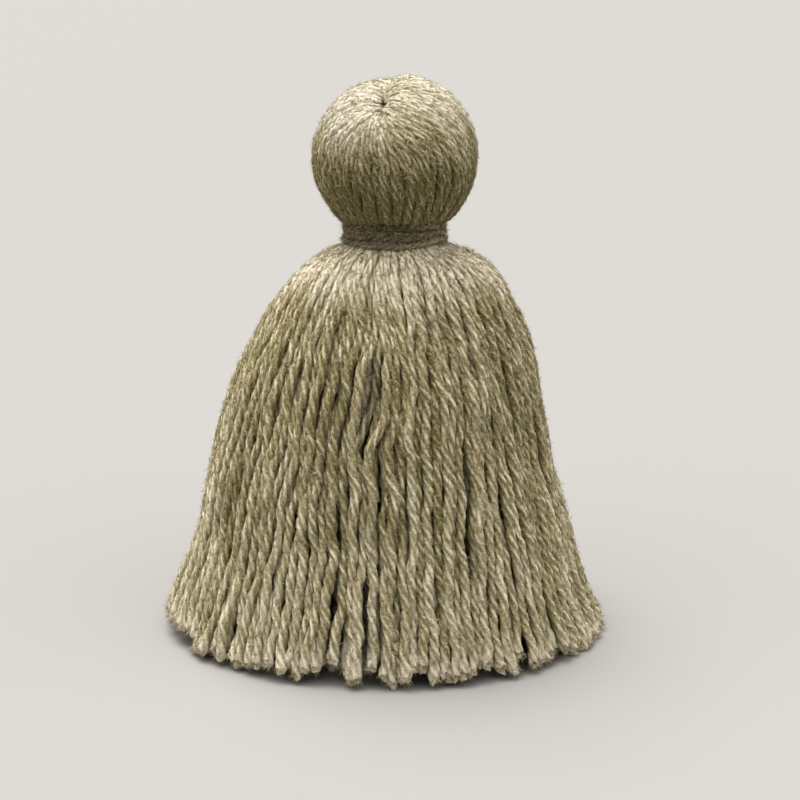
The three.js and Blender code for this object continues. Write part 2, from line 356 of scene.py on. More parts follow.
def join_yarns(name, yarns, material, node):
    """One piece made of several lots of yarn, riding on the tassel's one body."""
    shift = np.cumsum([0] + [len(yarn["points"]) for yarn in yarns])
    quads = np.concatenate([yarn["quads"] + more for yarn, more in zip(yarns, shift)])
    ends = np.concatenate([yarn["ends"] + more for yarn, more in zip(yarns, shift)])
    points = np.concatenate([yarn["points"] for yarn in yarns]) * MM
    corners = [yarn["quads"].size for yarn in yarns]
    uv = np.concatenate(
        [yarn["uv"][:count] for yarn, count in zip(yarns, corners)]
        + [yarn["uv"][count:] for yarn, count in zip(yarns, corners)]
    )
    mesh = bpy.data.meshes.new(name)
    mesh.vertices.add(len(points))
    mesh.vertices.foreach_set("co", points.ravel())
    mesh.loops.add(quads.size + ends.size)
    mesh.loops.foreach_set("vertex_index", np.concatenate([quads.ravel(), ends.ravel()]))
    mesh.polygons.add(len(quads) + len(ends))
    starts = [np.arange(len(quads)) * 4, quads.size + np.arange(len(ends)) * 3]
    mesh.polygons.foreach_set("loop_start", np.concatenate(starts))
    mesh.polygons.foreach_set("use_smooth", np.ones(len(quads) + len(ends), bool))
    mesh.update(calc_edges=True)
    layer = mesh.uv_layers.new(name="yarn")
    layer.uv.foreach_set("vector", uv.ravel())
    for kept in ("tone", "front"):
        values = mesh.attributes.new(kept, "FLOAT", "POINT")
        values.data.foreach_set("value", np.concatenate([yarn[kept] for yarn in yarns]))
    piece = bpy.data.objects.new(name, mesh)
    bpy.context.scene.collection.objects.link(piece)
    mesh.materials.append(material)
    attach(piece, "root")
    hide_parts(node)


# What makes wool lighter and darker: its fibres, melange and clouds, each strand's tone, and
# painted light on the side that faces outwards. Fibres are counted round a strand, and each has
# its own pattern.
FIBRE_SHARE = 1.4
MELANGE_SHARE = 0.7
CLOUD_SHARE = 0.5
TONE_SHARE = 0.35
OUTWARD_PAINTED_LIGHT = 0.18
WOOL_LIGHT = 0.13
FIBRES_AROUND = 20.0
OWN_PATTERN = 40.0
MIDDLE_STOP = 0.42


def wool_material(name, deep, middle, pale, ply, painted_gleam):
    """Four-ply wool: painted highlights on the crests of its plies and painted shade in the
    grooves between them, fibres along it, and a soft melange.
    """
    material, shade = new_material(name)
    uv = shade.node("ShaderNodeUVMap", {"uv_map": "yarn"})
    around = shade.node("ShaderNodeSeparateXYZ", None, {"Vector": uv})
    down = Shade(around.tree, around.socket.node.outputs["Y"])
    place = shade.node("ShaderNodeTexCoord", output=3)
    tone = shade.node("ShaderNodeAttribute", {"attribute_name": "tone"}, output=2)
    front = shade.node("ShaderNodeAttribute", {"attribute_name": "front"}, output=2).clamped()

    wave = shade.maths("SINE", around * (PLIES * math.pi))
    crest = wave * wave
    lay = (around + down * (1 / TWIST_PITCH)) * FIBRES_AROUND
    own = tone * OWN_PATTERN
    fibre_place = shade.node("ShaderNodeCombineXYZ", None, {"X": lay, "Y": down, "Z": own})
    fibre = shade.noise(fibre_place, 1.0, 3.0)
    melange = shade.noise(place, 2200.0, 2.0)
    dashes = shade.noise(place, 320.0, 1.0)
    cloud = shade.noise(place, 150.0, 2.0)
    light = FIBRE_SHARE * (fibre - 0.5) + MELANGE_SHARE * (melange - 0.5)
    light = light + CLOUD_SHARE * (cloud - 0.5) + TONE_SHARE * tone
    # Painted highlights: short glints on ply crests that face outwards. Then painted shade in the
    # grooves between plies, and painted light on the strand's outward side.
    painted_glint = crest * crest * front * front * (4.0 * dashes - 1.6).clamped()
    light = light + WOOL_LIGHT + ply * (crest - 0.5) + OUTWARD_PAINTED_LIGHT * front + painted_gleam * painted_glint
    stops = [(0.0, (*deep, 1.0)), (MIDDLE_STOP, (*middle, 1.0)), (1.0, (*pale, 1.0))]
    colour = shade.node("ShaderNodeValToRGB", {"stops": stops}, {"Fac": light})
    relief = shade.node(
        "ShaderNodeBump",
        None,
        {"Strength": 0.6, "Distance": 0.00018, "Height": fibre + melange},
    )
    wool = shade.node(
        "ShaderNodeBsdfPrincipled",
        None,
        {
            "Base Color": colour,
            "Roughness": 0.95,
            "Specular IOR Level": 0.15,
            "Sheen Weight": 0.25,
            "Sheen Roughness": 0.5,
            "Sheen Tint": (1.0, 0.93, 0.76, 1.0),
            "Normal": relief,
        },
    )
    shade.node("ShaderNodeOutputMaterial", None, {"Surface": wool})
    return material


def turned(vectors, axis, angle):
    """Vectors turned about an axis, each by its own angle (Rodrigues' formula)."""
    cos, sin = np.cos(angle)[..., None], np.sin(angle)[..., None]
    inward = (vectors @ axis)[..., None] * axis
    return vectors * cos + np.cross(axis, vectors) * sin + inward * (1 - cos)


def smooth_step(share):
    share = np.clip(share, 0, 1)
    return share * share * (3 - 2 * share)


def passed(place, change):
    """How far a place is through a change, from 0 to 1, by where it starts and its span."""
    start, span = change
    return smooth_step((place - start) / span)


def head_surface(turn, fall, settled, lean, tilt, inset):
    """Points under the head's face, which stand straight once the strands have settled."""
    direction = np.stack(
        [np.sin(fall) * np.sin(turn), -np.sin(fall) * np.cos(turn), np.cos(fall)], -1
    )
    lean_axis = np.array([math.cos(LEAN_TURN), math.sin(LEAN_TURN), 0])
    direction = turned(direction, lean_axis, lean * (1 - settled))
    direction = turned(direction, np.array([0, 1.0, 0]), -tilt * (1 - settled))
    half = np.where(direction[..., 2] > 0, HEAD_ABOVE, HEAD_BELOW)
    size = np.stack([half * 0 + HEAD_RADIUS, half * 0 + HEAD_RADIUS, half], -1)
    dimple = DIMPLE_DEPTH * np.exp(-((fall / DIMPLE_SPREAD) ** 2))
    points = direction * size * (1 - (inset + dimple) / HEAD_RADIUS)[..., None]
    return points + np.array([AXIS_X, 0, HEAD_CENTRE])


def drawn_in(routes):
    """Carries the head's strands on into the neck, under the binding."""
    last = routes[:, -1:]
    flat = (last - np.array([AXIS_X, 0, 0])) * np.array([1, 1, 0])
    radius = np.linalg.norm(flat, axis=-1, keepdims=True)
    steps = [routes]
    for share, drop in NECK_STEPS:
        inward = (NECK_RADIUS / radius - 1) * share * flat
        steps.append(last + inward - np.array([0, 0, drop]))
    return np.concatenate(steps, 1)


def held(lay):
    """Keeps what is laid along the head's strands as it is over the steps into the neck."""
    return np.concatenate([lay] + [lay[:, -1:]] * len(NECK_STEPS), 1)


def lay_head():
    """The head's lay, which is its strands' routes, the way across and radii, and its tones."""
    each = (HEAD_STRANDS, 1)
    number = np.arange(HEAD_STRANDS)[:, None]
    turn = number * 2 * math.pi / HEAD_STRANDS + chance.uniform(-TURN_STRAY, TURN_STRAY, each)
    base = HEAD_BASE + NECK_TILT * np.cos(turn)
    base_fall = math.pi - np.arccos((HEAD_CENTRE - base) / HEAD_BELOW)
    start = np.radians(FIRST_FALLS[number % 3] + chance.uniform(0, FALL_STRAY, each))
    fall = start + (base_fall - start) * np.linspace(0, 1, HEAD_STEPS)
    settled = smooth_step(fall / base_fall)

    def ripple(size, rate):
        return size * np.sin(fall * rate + chance.uniform(0, 6.3, each))

    off = (turn - LEAN_TURN) % (2 * math.pi)
    on_right = off < math.pi
    right = smooth_step(off / math.pi) * on_right
    left = smooth_step(2 - off / math.pi) * ~on_right
    lean = HEAD_LEAN * (1 - CREASE_RIGHT * right - CREASE_LEFT * left) + fall * 0
    tilt = CREASE_TILT * right + fall * 0
    proud = CREASE_PROUD * smooth_step(off / 2) * on_right * np.exp(-((fall / CREASE_FADE) ** 2))
    layer = chance.uniform(0, LAYER_STRAY, each)
    plunge = PLUNGE * np.exp(-(((fall - start) / PLUNGE_SPREAD) ** 2))
    inset = HEAD_INSET + layer - proud + ripple(*DEPTH_RIPPLE) + plunge
    swayed = turn + (ripple(*SLOW_SWAY) + ripple(*QUICK_SWAY)) * (1 - 0.5 * settled)
    routes = head_surface(swayed, fall, settled, lean, tilt, inset)
    across = head_surface(swayed + 0.02, fall, settled, lean, tilt, inset) - routes
    thick = DIMPLE_THICK + TOP_SWELL * passed(fall, SWELLS)
    thick = thick * (1 - NECK_PINCH * passed(fall, PINCHED))

    # Each strand's own tone, painted shade low on the head and painted light high on it, and
    # painted patches of shade and light beside the dimple.
    tone = chance.uniform(-OWN_TONE, OWN_TONE, each) + HEAD_PAINTED_SHADE
    tone = tone + HEAD_PAINTED_LIGHT * passed(routes[..., 2], HEAD_PAINTED_SPAN)
    near_dimple = passed(fall, PATCH_NEAR) * passed(fall, PATCH_FAR)
    for where, wide, patch in DIMPLE_PAINTED_PATCHES:
        tone = tone + patch * near_dimple * np.exp(-(((off - where) / wide) ** 2))
    return (drawn_in(routes), held(across), held(thick)), held(tone)


wool = wool_material(
    "four_ply_wool",
    deep=(0.165, 0.135, 0.05),
    middle=(0.41, 0.36, 0.21),
    pale=(0.82, 0.75, 0.6),
    ply=0.24,
    painted_gleam=0.5,
)
folded_wool = wool_material(
    "folded_wool",
    deep=(0.15, 0.122, 0.043),
    middle=(0.405, 0.355, 0.205),
    pale=(0.66, 0.618, 0.522),
    ply=0.34,
    painted_gleam=0.3,
)
head_lay, head_tone = lay_head()
folded_section = ply_section(points=12, groove=0.72)
head_yarn = spin_yarn(head_lay, head_tone, folded_section, HEAD_PITCH, marl=MARL)
join_yarns("head_strands", [head_yarn], folded_wool, "yarn_hank")

# ---------------------------------------------------------------------------
# The skirt
# The rest of the hank: its strands come out from under the binding, swell over a round
# shoulder and hang in a wide bell, nearly 300 of them in rings from the face to the middle.
# They are cut by hand, so the hem is uneven, and here and there the strands part.
# ---------------------------------------------------------------------------

# Heights and half-widths of the skirt's face from the head's axis: left, right, front and back.
SKIRT = np.array(
    [
        (74.5, 7.5, 7.5, 7.5),
        (71.6, 7.9, 7.9, 7.9),
        (70.5, 9.6, 9.8, 9.4),
        (69.2, 12.6, 13.6, 12.0),
        (66.0, 16.6, 17.8, 14.7),
        (60.0, 21.4, 21.3, 18.0),
        (50.0, 27.0, 24.8, 21.5),
        (40.0, 31.0, 26.6, 23.5),
        (30.0, 33.7, 28.9, 25.0),
        (20.0, 35.6, 31.8, 26.5),
        (10.0, 39.2, 34.5, 28.3),
        (0.0, 42.7, 38.6, 30.0),
    ]
)
# How far it is along the face from the top to each of those heights.
SKIRT_RUN = np.concatenate(
    [[0], np.cumsum(np.hypot(np.diff(SKIRT[:, 0]), np.diff(SKIRT[:, 1:].mean(1))))]
)

# Heights at which the strands of the face stop, by degrees from the front.
HEM = np.array(
    [
        (-180, 1.2),
        (-150, 2.6),
        (-120, 1.4),
        (-100, 2.0),
        (-88, 2.6),
        (-64, 3.0),
        (-60, 0.8),
        (-55, 0.8),
        (-48, 1.5),
        (-41, 1.2),
        (-33, 1.5),
        (-27, 2.2),
        (-24, 0.3),
        (-19, 2.4),
        (-14.5, 3.5),
        (-10.5, 0.0),
        (-5.5, 3.0),
        (-1, 0.4),
        (1.5, 0.4),
        (5.5, 3.0),
        (10, 2.0),
        (13, 0.2),
        (18, 1.4),
        (24, 1.4),
        (30, 2.8),
        (34.5, 0.2),
        (38.5, 3.2),
        (43, 0.0),
        (51, 1.8),
        (60, 0.2),
        (76, 0.2),
        (90, 1.0),
        (125, 0.8),
        (155, 2.4),
        (180, 1.2),
    ]
)

# Partings: degrees from the front at head and foot, heights of both, and width.
PARTINGS = (
    (-42, -36, 61, 41, 0.9),
    (-22, -22, 53, 45, 0.7),
    (-6, -13, 58, 41, 2.6),
    (25, 24, 57, 44, 0.4),
    (31, 24, 48, 4, 0.9),
    (37, 36, 30, 0, 1.0),
    (-14, -13, 24, -14, 0.8),
    (-72, -70, 46, 8, 0.9),
    (84, 78, 40, -6, 0.9),
    (118, 122, 56, 34, 1.2),
    (151, 149, 36, 2, 0.9),
    (-166, -161, 58, 38, 1.3),
    (-128, -131, 42, 4, 1.1),
)
PARTING_REACH = 11  # degrees over which the neighbours give way
PARTING_DEEP = 5  # degrees over which the strands inside it lie deeper

# Rings of strands: how many, depth at the shoulder, depth at the hem, place of the first one,
# height where they are first seen, steps along a strand, shares of each parting that they open
# by and sink by, share of the yarn's radius, and whether their ends follow the hem.
RINGS = (
    (60, 0.0, 0.0, 0.0, 74.5, 96, 1.0, 0.0, 1.0, True),
    (60, 0.8, 0.1, 0.5, 73.0, 94, 0.35, 0.9, 1.0, True),
    (50, 1.8, 0.9, 0.2, 70.5, 80, 0.0, 0.9, 1.0, True),
    (42, 3.0, 2.0, 0.6, 68.0, 44, 0.0, 0.5, 1.15, True),
    (34, 5.4, 6.0, 0.1, 64.5, 30, 0.0, 0.0, 1.15, False),
    (26, 8.4, 12.0, 0.8, 64.0, 30, 0.0, 0.0, 1.15, False),
    (15, 11.2, 20.0, 0.4, 63.5, 30, 0.0, 0.0, 1.15, False),
    (6, 14.2, 26.5, 0.3, 63.5, 30, 0.0, 0.0, 1.15, False),
)
SHOULDER_TOP = 70
FAN = 0.6  # below 1, strands fan out early on their way from the shoulder to the hem
LOOSE = 0.3  # how much deeper than its ring a free strand hangs

# Changes along a strand: the height where each starts, and its span, below 0 if downwards.
FREED = (73, -13)  # strands come free of the binding and stray
TILTED = (61, 9)  # they go up into the tilted neck
SLANTED = (58, 8)  # depth is square to the face over the shoulder, and level below it
DEEPENED = (25, 20)  # partings are deeper above than near the hem
SHALLOW_SHARE = 0.4

# The yarn's radius by height, and by distance from its cut end, where it flares, then rounds
# off. Its last steps are laid close together over the tip.
YARN_RADIUS = np.array(
    [(75, 0.52), (71, 0.62), (69, 0.76), (66, 0.85), (60, 0.9), (40, 0.93), (0, 0.95)]
)
TIP_FORM = np.array([(0.0, 0.72), (0.1, 0.92), (0.3, 1.08), (0.7, 1.17), (1.8, 1.11), (4.0, 1.0)])
TIP_STEPS = np.array([0.7, 0.3, 0.1, 0.0])
TIP_LENGTH = 1.3
SLOPE_REACH = 0.4  # the face's slope is taken this far up and down from a step

# How strands stray: their places, ends, thickness and drift, and their waves sideways and in
# depth, as mm of stray and mm along the strand.
PLACE_STRAY = 0.12
RAGGED = 0.5
RING_LIFT = 0.4
THICK_STRAY = 0.09
DRIFT = 0.35
SIDE_WAVES = ((0.3, 5.9), (0.25, 2.1), (0.12, 0.9))
DEPTH_WAVES = ((0.35, 8.7), (0.2, 3.3))
GOLDEN = 0.6180339887

# Light and dark of the strands: each its own, with painted light over the shoulder and towards the
# hem, and paler over the last few mm to the cut end.
STRAND_TONE = 0.5
SHOULDER_PAINTED_LIGHT = 1.85
SHOULDER_PAINTED_SPAN = (60, 8)
HEM_PAINTED_LIGHT = 0.7
HEM_PAINTED_SPAN = (50, -45)
TIP_GLOWS = (5, -5)


def smooth_rows(keys, rows, at):
    """Values between the rows of a table, on a curve that bends smoothly through them."""
    slopes = np.gradient(rows, keys, axis=0)
    row = np.clip(np.searchsorted(keys, at, side="right") - 1, 0, len(keys) - 2)
    width = keys[row + 1] - keys[row]
    share = ((at - keys[row]) / width)[..., None]
    width = width[..., None]
    before, after = rows[row], rows[row + 1]
    rise = share * share * (3 - 2 * share)
    leave = share * (1 - share) ** 2
    arrive = share * share * (share - 1)
    bend = width * (leave * slopes[row] + arrive * slopes[row + 1])
    return before + (after - before) * rise + bend


def spread(number, offset):
    """Even stray from -1 to 1 for a strand's number."""
    return 2 * ((number * GOLDEN + offset) % 1) - 1


def from_front(degrees):
    """The same turn, between -180 and 180 degrees."""
    return (degrees + 180) % 360 - 180


def waves(sizes, run, phases):
    return sum(size * np.sin(run / long + phase) for (size, long), phase in zip(sizes, phases))


def parted(turn, height, share):
    """Turns in degrees, pushed apart by a share of each parting, and how deep each one is."""
    wide = np.interp(-height, -SKIRT[:, 0], SKIRT[:, 3])
    pushed = turn + 0 * height
    sunk = 0 * pushed
    for head, foot, top, bottom, gap in PARTINGS:
        down = (top - height) / (top - bottom)
        off = from_front(turn - (head + foot) / 2)
        swell = np.where((down > 0) & (down < 1), np.sin(math.pi * np.clip(down, 0, 1)), 0)
        give = np.exp(-np.abs(off) / PARTING_REACH) * swell
        opening = np.degrees(share * gap / 2 / wide)
        bounds = smooth_step((down + 0.6) / 0.6) * smooth_step((1.6 - down) / 0.6)
        slant = (foot - head) * (np.clip(down, 0, 1) - 0.5) * bounds
        pushed = pushed + give * np.sign(off) * opening
        pushed = pushed + np.exp(-np.abs(off) / PARTING_REACH) * slant
        sunk = sunk + gap * swell * np.exp(-(((off - slant) / PARTING_DEEP) ** 2))
    return pushed, sunk * (SHALLOW_SHARE + (1 - SHALLOW_SHARE) * passed(height, DEEPENED))


def skirt_lay(ring):
    """Routes of one ring's strands, the way across each, and their radii along them."""
    strands, at_shoulder, at_hem, first, top, steps, opening, sinking, swell, hemmed = RINGS[ring]
    number = np.arange(strands)
    turn = (number + first + PLACE_STRAY * spread(number, first)) * 360 / strands
    ragged = RAGGED * (1 + spread(number, 0.37)) + RING_LIFT * ring
    lift = hemmed * (np.interp(from_front(turn), HEM[:, 0], HEM[:, 1]) + ragged)
    start = np.interp(-top, -SKIRT[:, 0], SKIRT_RUN)
    end = np.interp(-lift, -SKIRT[:, 0], SKIRT_RUN)
    along = np.linspace(0, 1, steps - len(TIP_STEPS))
    hung = start + (end - TIP_LENGTH - start)[:, None] * along
    run = np.concatenate([hung, end[:, None] - TIP_STEPS], 1)
    rows = smooth_rows(SKIRT_RUN, SKIRT, run)
    ahead = smooth_rows(SKIRT_RUN, SKIRT, run + SLOPE_REACH)
    behind = smooth_rows(SKIRT_RUN, SKIRT, run - SLOPE_REACH)
    height = rows[..., 0]
    fall = np.clip((SHOULDER_TOP - height) / SHOULDER_TOP, 0, 1) ** FAN
    free = passed(height, FREED)
    pushed, sunk = parted(turn[:, None], height, opening)
    phases = chance.uniform(0, 2 * math.pi, (4, strands, 1))
    drift = chance.normal(0, DRIFT, (strands, 1)) * np.sin(math.pi * free)
    sideways = waves(SIDE_WAVES, run, phases) + drift
    deep_wave = waves(DEPTH_WAVES, run, phases[2:])
    angle = np.radians(pushed) + free * sideways / (0.5 * (rows[..., 1] + rows[..., 3]))

    def face(table):
        wide = np.where(np.sin(angle) < 0, table[..., 1], table[..., 2])
        return np.stack([wide * np.sin(angle), -table[..., 3] * np.cos(angle)], -1)

    flat = face(rows)
    outward = unit(flat)
    grow = np.linalg.norm(face(ahead), axis=-1) - np.linalg.norm(face(behind), axis=-1)
    drop = ahead[..., 0] - behind[..., 0]
    slope = np.hypot(grow, drop)
    normal = np.concatenate([outward * (-drop / slope)[..., None], (grow / slope)[..., None]], -1)
    thick = np.interp(-height, -YARN_RADIUS[:, 0], YARN_RADIUS[:, 1])
    thick = thick * (1 + THICK_STRAY * spread(number, 0.71))[:, None] * swell
    thick = thick * np.interp(run[:, -1:] - run, TIP_FORM[:, 0], TIP_FORM[:, 1])
    depth = at_shoulder + (at_hem - at_shoulder) * fall + free * (LOOSE + deep_wave)
    depth = depth + sinking * sunk
    slanting = passed(height, SLANTED)
    level = depth * (1 - slanting)
    narrowed = rows - level[..., None] * np.array([0, 1, 1, 1])
    raised = height + NECK_TILT * np.cos(angle) * passed(height, TILTED)
    centre = np.concatenate([face(narrowed) + np.array([AXIS_X, 0]), raised[..., None]], -1)
    routes = centre - (thick + depth * slanting)[..., None] * normal
    across = np.stack([np.cos(angle), np.sin(angle), 0 * angle], -1)
    return routes, across, thick


def skirt_yarn(lay, section, ragged, tip_tone, shade):
    """Yarn along a ring's strands, each with its own tone that changes towards its cut end,
    painted light over the shoulder and towards the hem, and the painted tone of its ring.
    """
    routes = lay[0]
    height = routes[..., 2]
    own = chance.uniform(-STRAND_TONE, STRAND_TONE, (len(routes), 1)) + shade
    to_end = np.linalg.norm(routes - routes[:, -1:], axis=-1)
    tone = own + tip_tone * passed(to_end, TIP_GLOWS)
    # Painted light over the shoulder and towards the hem.
    tone = tone + SHOULDER_PAINTED_LIGHT * passed(height, SHOULDER_PAINTED_SPAN)
    tone = tone + HEM_PAINTED_LIGHT * passed(height, HEM_PAINTED_SPAN)
    return spin_yarn(lay, tone, section, ragged=ragged, marl=MARL)


fine_section = ply_section(points=12, groove=0.7)
coarse_section = ply_section(points=8, groove=0.66)
skirt_lays = [skirt_lay(ring) for ring in range(len(RINGS))]
# Each piece: its rings, its yarn's section, mm that its ends are cut ragged by, and its tones:
# that of its cut ends, and painted shade on the second ring and painted light on the rings inside
# it.
SKIRT_PIECES = (
    ("skirt_face", skirt_lays[:1], fine_section, 0.6, 1.3, 0.0),
    ("skirt_second_ring", skirt_lays[1:2], fine_section, 0.6, 1.3, -0.3),
    ("skirt_third_ring", skirt_lays[2:3], coarse_section, 0.5, 1.6, 0.3),
    ("skirt_inner_strands", skirt_lays[3:], coarse_section, 0.2, 1.2, 1.0),
)
for name, lays, section, ragged, tip_tone, shade in SKIRT_PIECES:
    strands = [skirt_yarn(lay, section, ragged, tip_tone, shade) for lay in lays]
    join_yarns(name, strands, wool, "yarn_hank")

# ---------------------------------------------------------------------------
# The hank's inside
# The folded yarn under the strands that show, packed tight in the head, drawn in by the
# binding and fanned out under the shoulder. Only dark glimpses of it show between strands.
# ---------------------------------------------------------------------------

# Height, half-width and half-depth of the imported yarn, from the head's top downwards.
PACKED = (
    (93.8, 3.6, 3.6),
    (93.1, 6.0, 6.0),
    (91.0, 9.2, 9.2),
    (86.0, 12.1, 12.1),
    (80.0, 11.2, 11.2),
    (76.6, 8.6, 8.6),
    (74.4, 7.3, 7.3),
    (71.2, 7.3, 7.3),
    (69.0, 10.2, 9.4),
    (66.0, 14.3, 12.0),
    (63.5, 16.9, 14.0),
)


def packed_yarn():
    top, wide, deep = PACKED[0]
    place = (AXIS_X * MM, 0, top * MM)
    bpy.ops.mesh.primitive_circle_add(vertices=48, radius=MM, fill_type="TRIFAN", location=place)
    piece = bpy.context.object
    piece.name = "packed_yarn"
    bpy.ops.object.transform_apply(location=True)
    bpy.ops.object.mode_set(mode="EDIT")
    bpy.ops.mesh.select_all(action="SELECT")
    bpy.ops.transform.resize(value=(wide, deep, 1), center_override=place)
    for height, half_width, half_depth in PACKED[1:]:
        drop = (0, 0, (height - top) * MM)
        bpy.ops.mesh.extrude_region_move(TRANSFORM_OT_translate={"value": drop})
        centre = (AXIS_X * MM, 0, height * MM)
        ratio = (half_width / wide, half_depth / deep, 1)
        bpy.ops.transform.resize(value=ratio, center_override=centre)
        top, wide, deep = height, half_width, half_depth
    bpy.ops.mesh.select_all(action="SELECT")
    bpy.ops.mesh.normals_make_consistent(inside=False)
    bpy.ops.object.mode_set(mode="OBJECT")
    bpy.ops.object.shade_smooth()
    bpy.ops.object.select_all(action="DESELECT")
    return piece


# Darker than the same yarn outside: painted shade inside the hank.
PACKED_DEEP = (0.12, 0.095, 0.045, 1.0)
PACKED_PALE = (0.42, 0.36, 0.22, 1.0)


def packed_material():
    material, shade = new_material("packed_wool")
    place = shade.node("ShaderNodeTexCoord", output=3)
    lay = shade.node("ShaderNodeMapping", None, {"Vector": place, "Scale": (900.0, 900.0, 90.0)})
    strand = shade.noise(lay, 1.0, 3.0)
    colour = shade.blend(strand, PACKED_DEEP, PACKED_PALE)
    depth = {"Strength": 0.6, "Distance": 0.0003, "Height": strand}
    relief = shade.node("ShaderNodeBump", None, depth)
    wool_body = shade.node(
        "ShaderNodeBsdfPrincipled",
        None,
        {"Base Color": colour, "Roughness": 0.95, "Specular IOR Level": 0.2, "Normal": relief},
    )
    shade.node("ShaderNodeOutputMaterial", None, {"Surface": wool_body})
    return material


packed = packed_yarn()
packed.data.materials.append(packed_material())
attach(packed, "root")
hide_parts("yarn_hank")

# ---------------------------------------------------------------------------
# The binding
# The same yarn, wound four times round the neck and pulled tight, so that it is thinner here,
# and coloured darker as painted shade under the head. Its last turn is slack: it sags in front,
# rises to the right and goes in under the others there.
# ---------------------------------------------------------------------------

# The end of the winding: degrees from the front, height, and distance from the neck's axis.
SLACK_TURN = (
    (-90, 71.6, 8.5),
    (-55, 71.2, 8.7),
    (-25, 70.95, 9.1),
    (5, 70.85, 9.2),
    (28, 71.2, 9.1),
    (50, 71.6, 8.9),
    (70, 71.7, 8.7),
    (90, 71.6, 8.5),
    (110, 71.3, 8.1),
    (125, 71.0, 7.6),
)
TIGHT_TURNS = 3
TIGHT_START = -150  # degrees from the front
TIGHT_END = 360 * TIGHT_TURNS - 120
TIGHT_STEP = 15
TURN_RISE = 1.0
TURN_WAVE = 0.13
WOUND_STEPS = 460
WOUND_TOP = 74.5
WOUND_RADIUS = 8.25
WOUND_PITCH = 6.5  # pulling the yarn tight twists its plies closer
TIGHT_THICK = 0.55
SLACK_THICK = 0.47
SLACKENS = (360 * TIGHT_TURNS - 90, 150)  # the turn where it starts, and over how much
# Painted shade in front and behind, and painted light at the sides and on the slack turn.
WOUND_PAINTED_SHADE = -0.75
WOUND_PAINTED_LIGHT = 1.3


def lay_winding():
    """The winding's lay, tight turns first, and its painted light and shade."""
    tight = np.arange(TIGHT_START, TIGHT_END, TIGHT_STEP)
    height = WOUND_TOP - TURN_RISE * (tight - TIGHT_START) / 360
    height = height + TURN_WAVE * np.sin(np.radians(tight) * 1.7)
    slack = np.array(SLACK_TURN) + np.array([360 * TIGHT_TURNS, 0, 0])
    rows = np.concatenate([np.stack([tight, height, height * 0 + WOUND_RADIUS], -1), slack])
    steps = np.linspace(rows[0, 0], rows[-1, 0], WOUND_STEPS)
    turn, height, radius = smooth_rows(rows[:, 0], rows, steps).T
    angle = np.radians(turn)
    height = height + NECK_TILT * np.cos(angle)
    route = np.stack([AXIS_X + radius * np.sin(angle), -radius * np.cos(angle), height], -1)
    upright = route * 0 + np.array([0, 0, 1.0])
    slackness = passed(turn, SLACKENS)
    thick = TIGHT_THICK + (SLACK_THICK - TIGHT_THICK) * slackness
    sideways = np.sin(np.radians(turn + 8)) ** 2
    tone = WOUND_PAINTED_SHADE + WOUND_PAINTED_LIGHT * (slackness + sideways)
    return (route[None], upright[None], thick[None]), tone[None]


# The binding's wool is coloured far darker than the strands': painted shade under the head.
painted_shade_binding_wool = wool_material(
    "painted_shade_binding_wool",
    deep=(0.06, 0.05, 0.02),
    middle=(0.17, 0.145, 0.08),
    pale=(0.45, 0.4, 0.27),
    ply=0.4,
    painted_gleam=0.7,
)
wound_lay, wound_tone = lay_winding()
wound_yarn = spin_yarn(wound_lay, wound_tone, fine_section, WOUND_PITCH)
join_yarns("neck_winding", [wound_yarn], painted_shade_binding_wool, "neck_binding")

# ---------------------------------------------------------------------------
# The fuzz
# Loose fibres of the wool, a millimetre or two long. They lie along the strands and stand a
# little off them, some of them bent, and a small brush of them stands out at each cut end.
# ---------------------------------------------------------------------------

HAIR_LENGTHS = (0.5, 1.8)
HAIR_RISE = 0.15  # as a share of a hair's length
BENT_LENGTHS = (0.6, 1.7)
BENT_RISE = 0.35
HAIR_THICK = (0.035, 0.065)
HAIR_ROOT = 0.93  # as a share of a strand's radius
HAIR_CURL = 0.4

# A bent hair's middle: shares of its way and its lift there, its own curl and its thickness.
BEND_WAY = 0.5
BEND_LIFT = 0.3
BEND_CURL = 0.22
BEND_THICK = 0.8

BRUSH_LENGTHS = (0.9, 2.0)
BRUSH_THICK = (0.05, 0.085)
BRUSH_HAIRS = (60, 54, 30)  # at each cut end, from the outer ring inwards
UPPER_FROM = 36  # the height where the skirt's upper fuzz starts
UPPER_TO = 71
FIBRE_DEEP = (0.3, 0.25, 0.135, 1.0)
FIBRE_PALE = (0.78, 0.7, 0.52, 1.0)


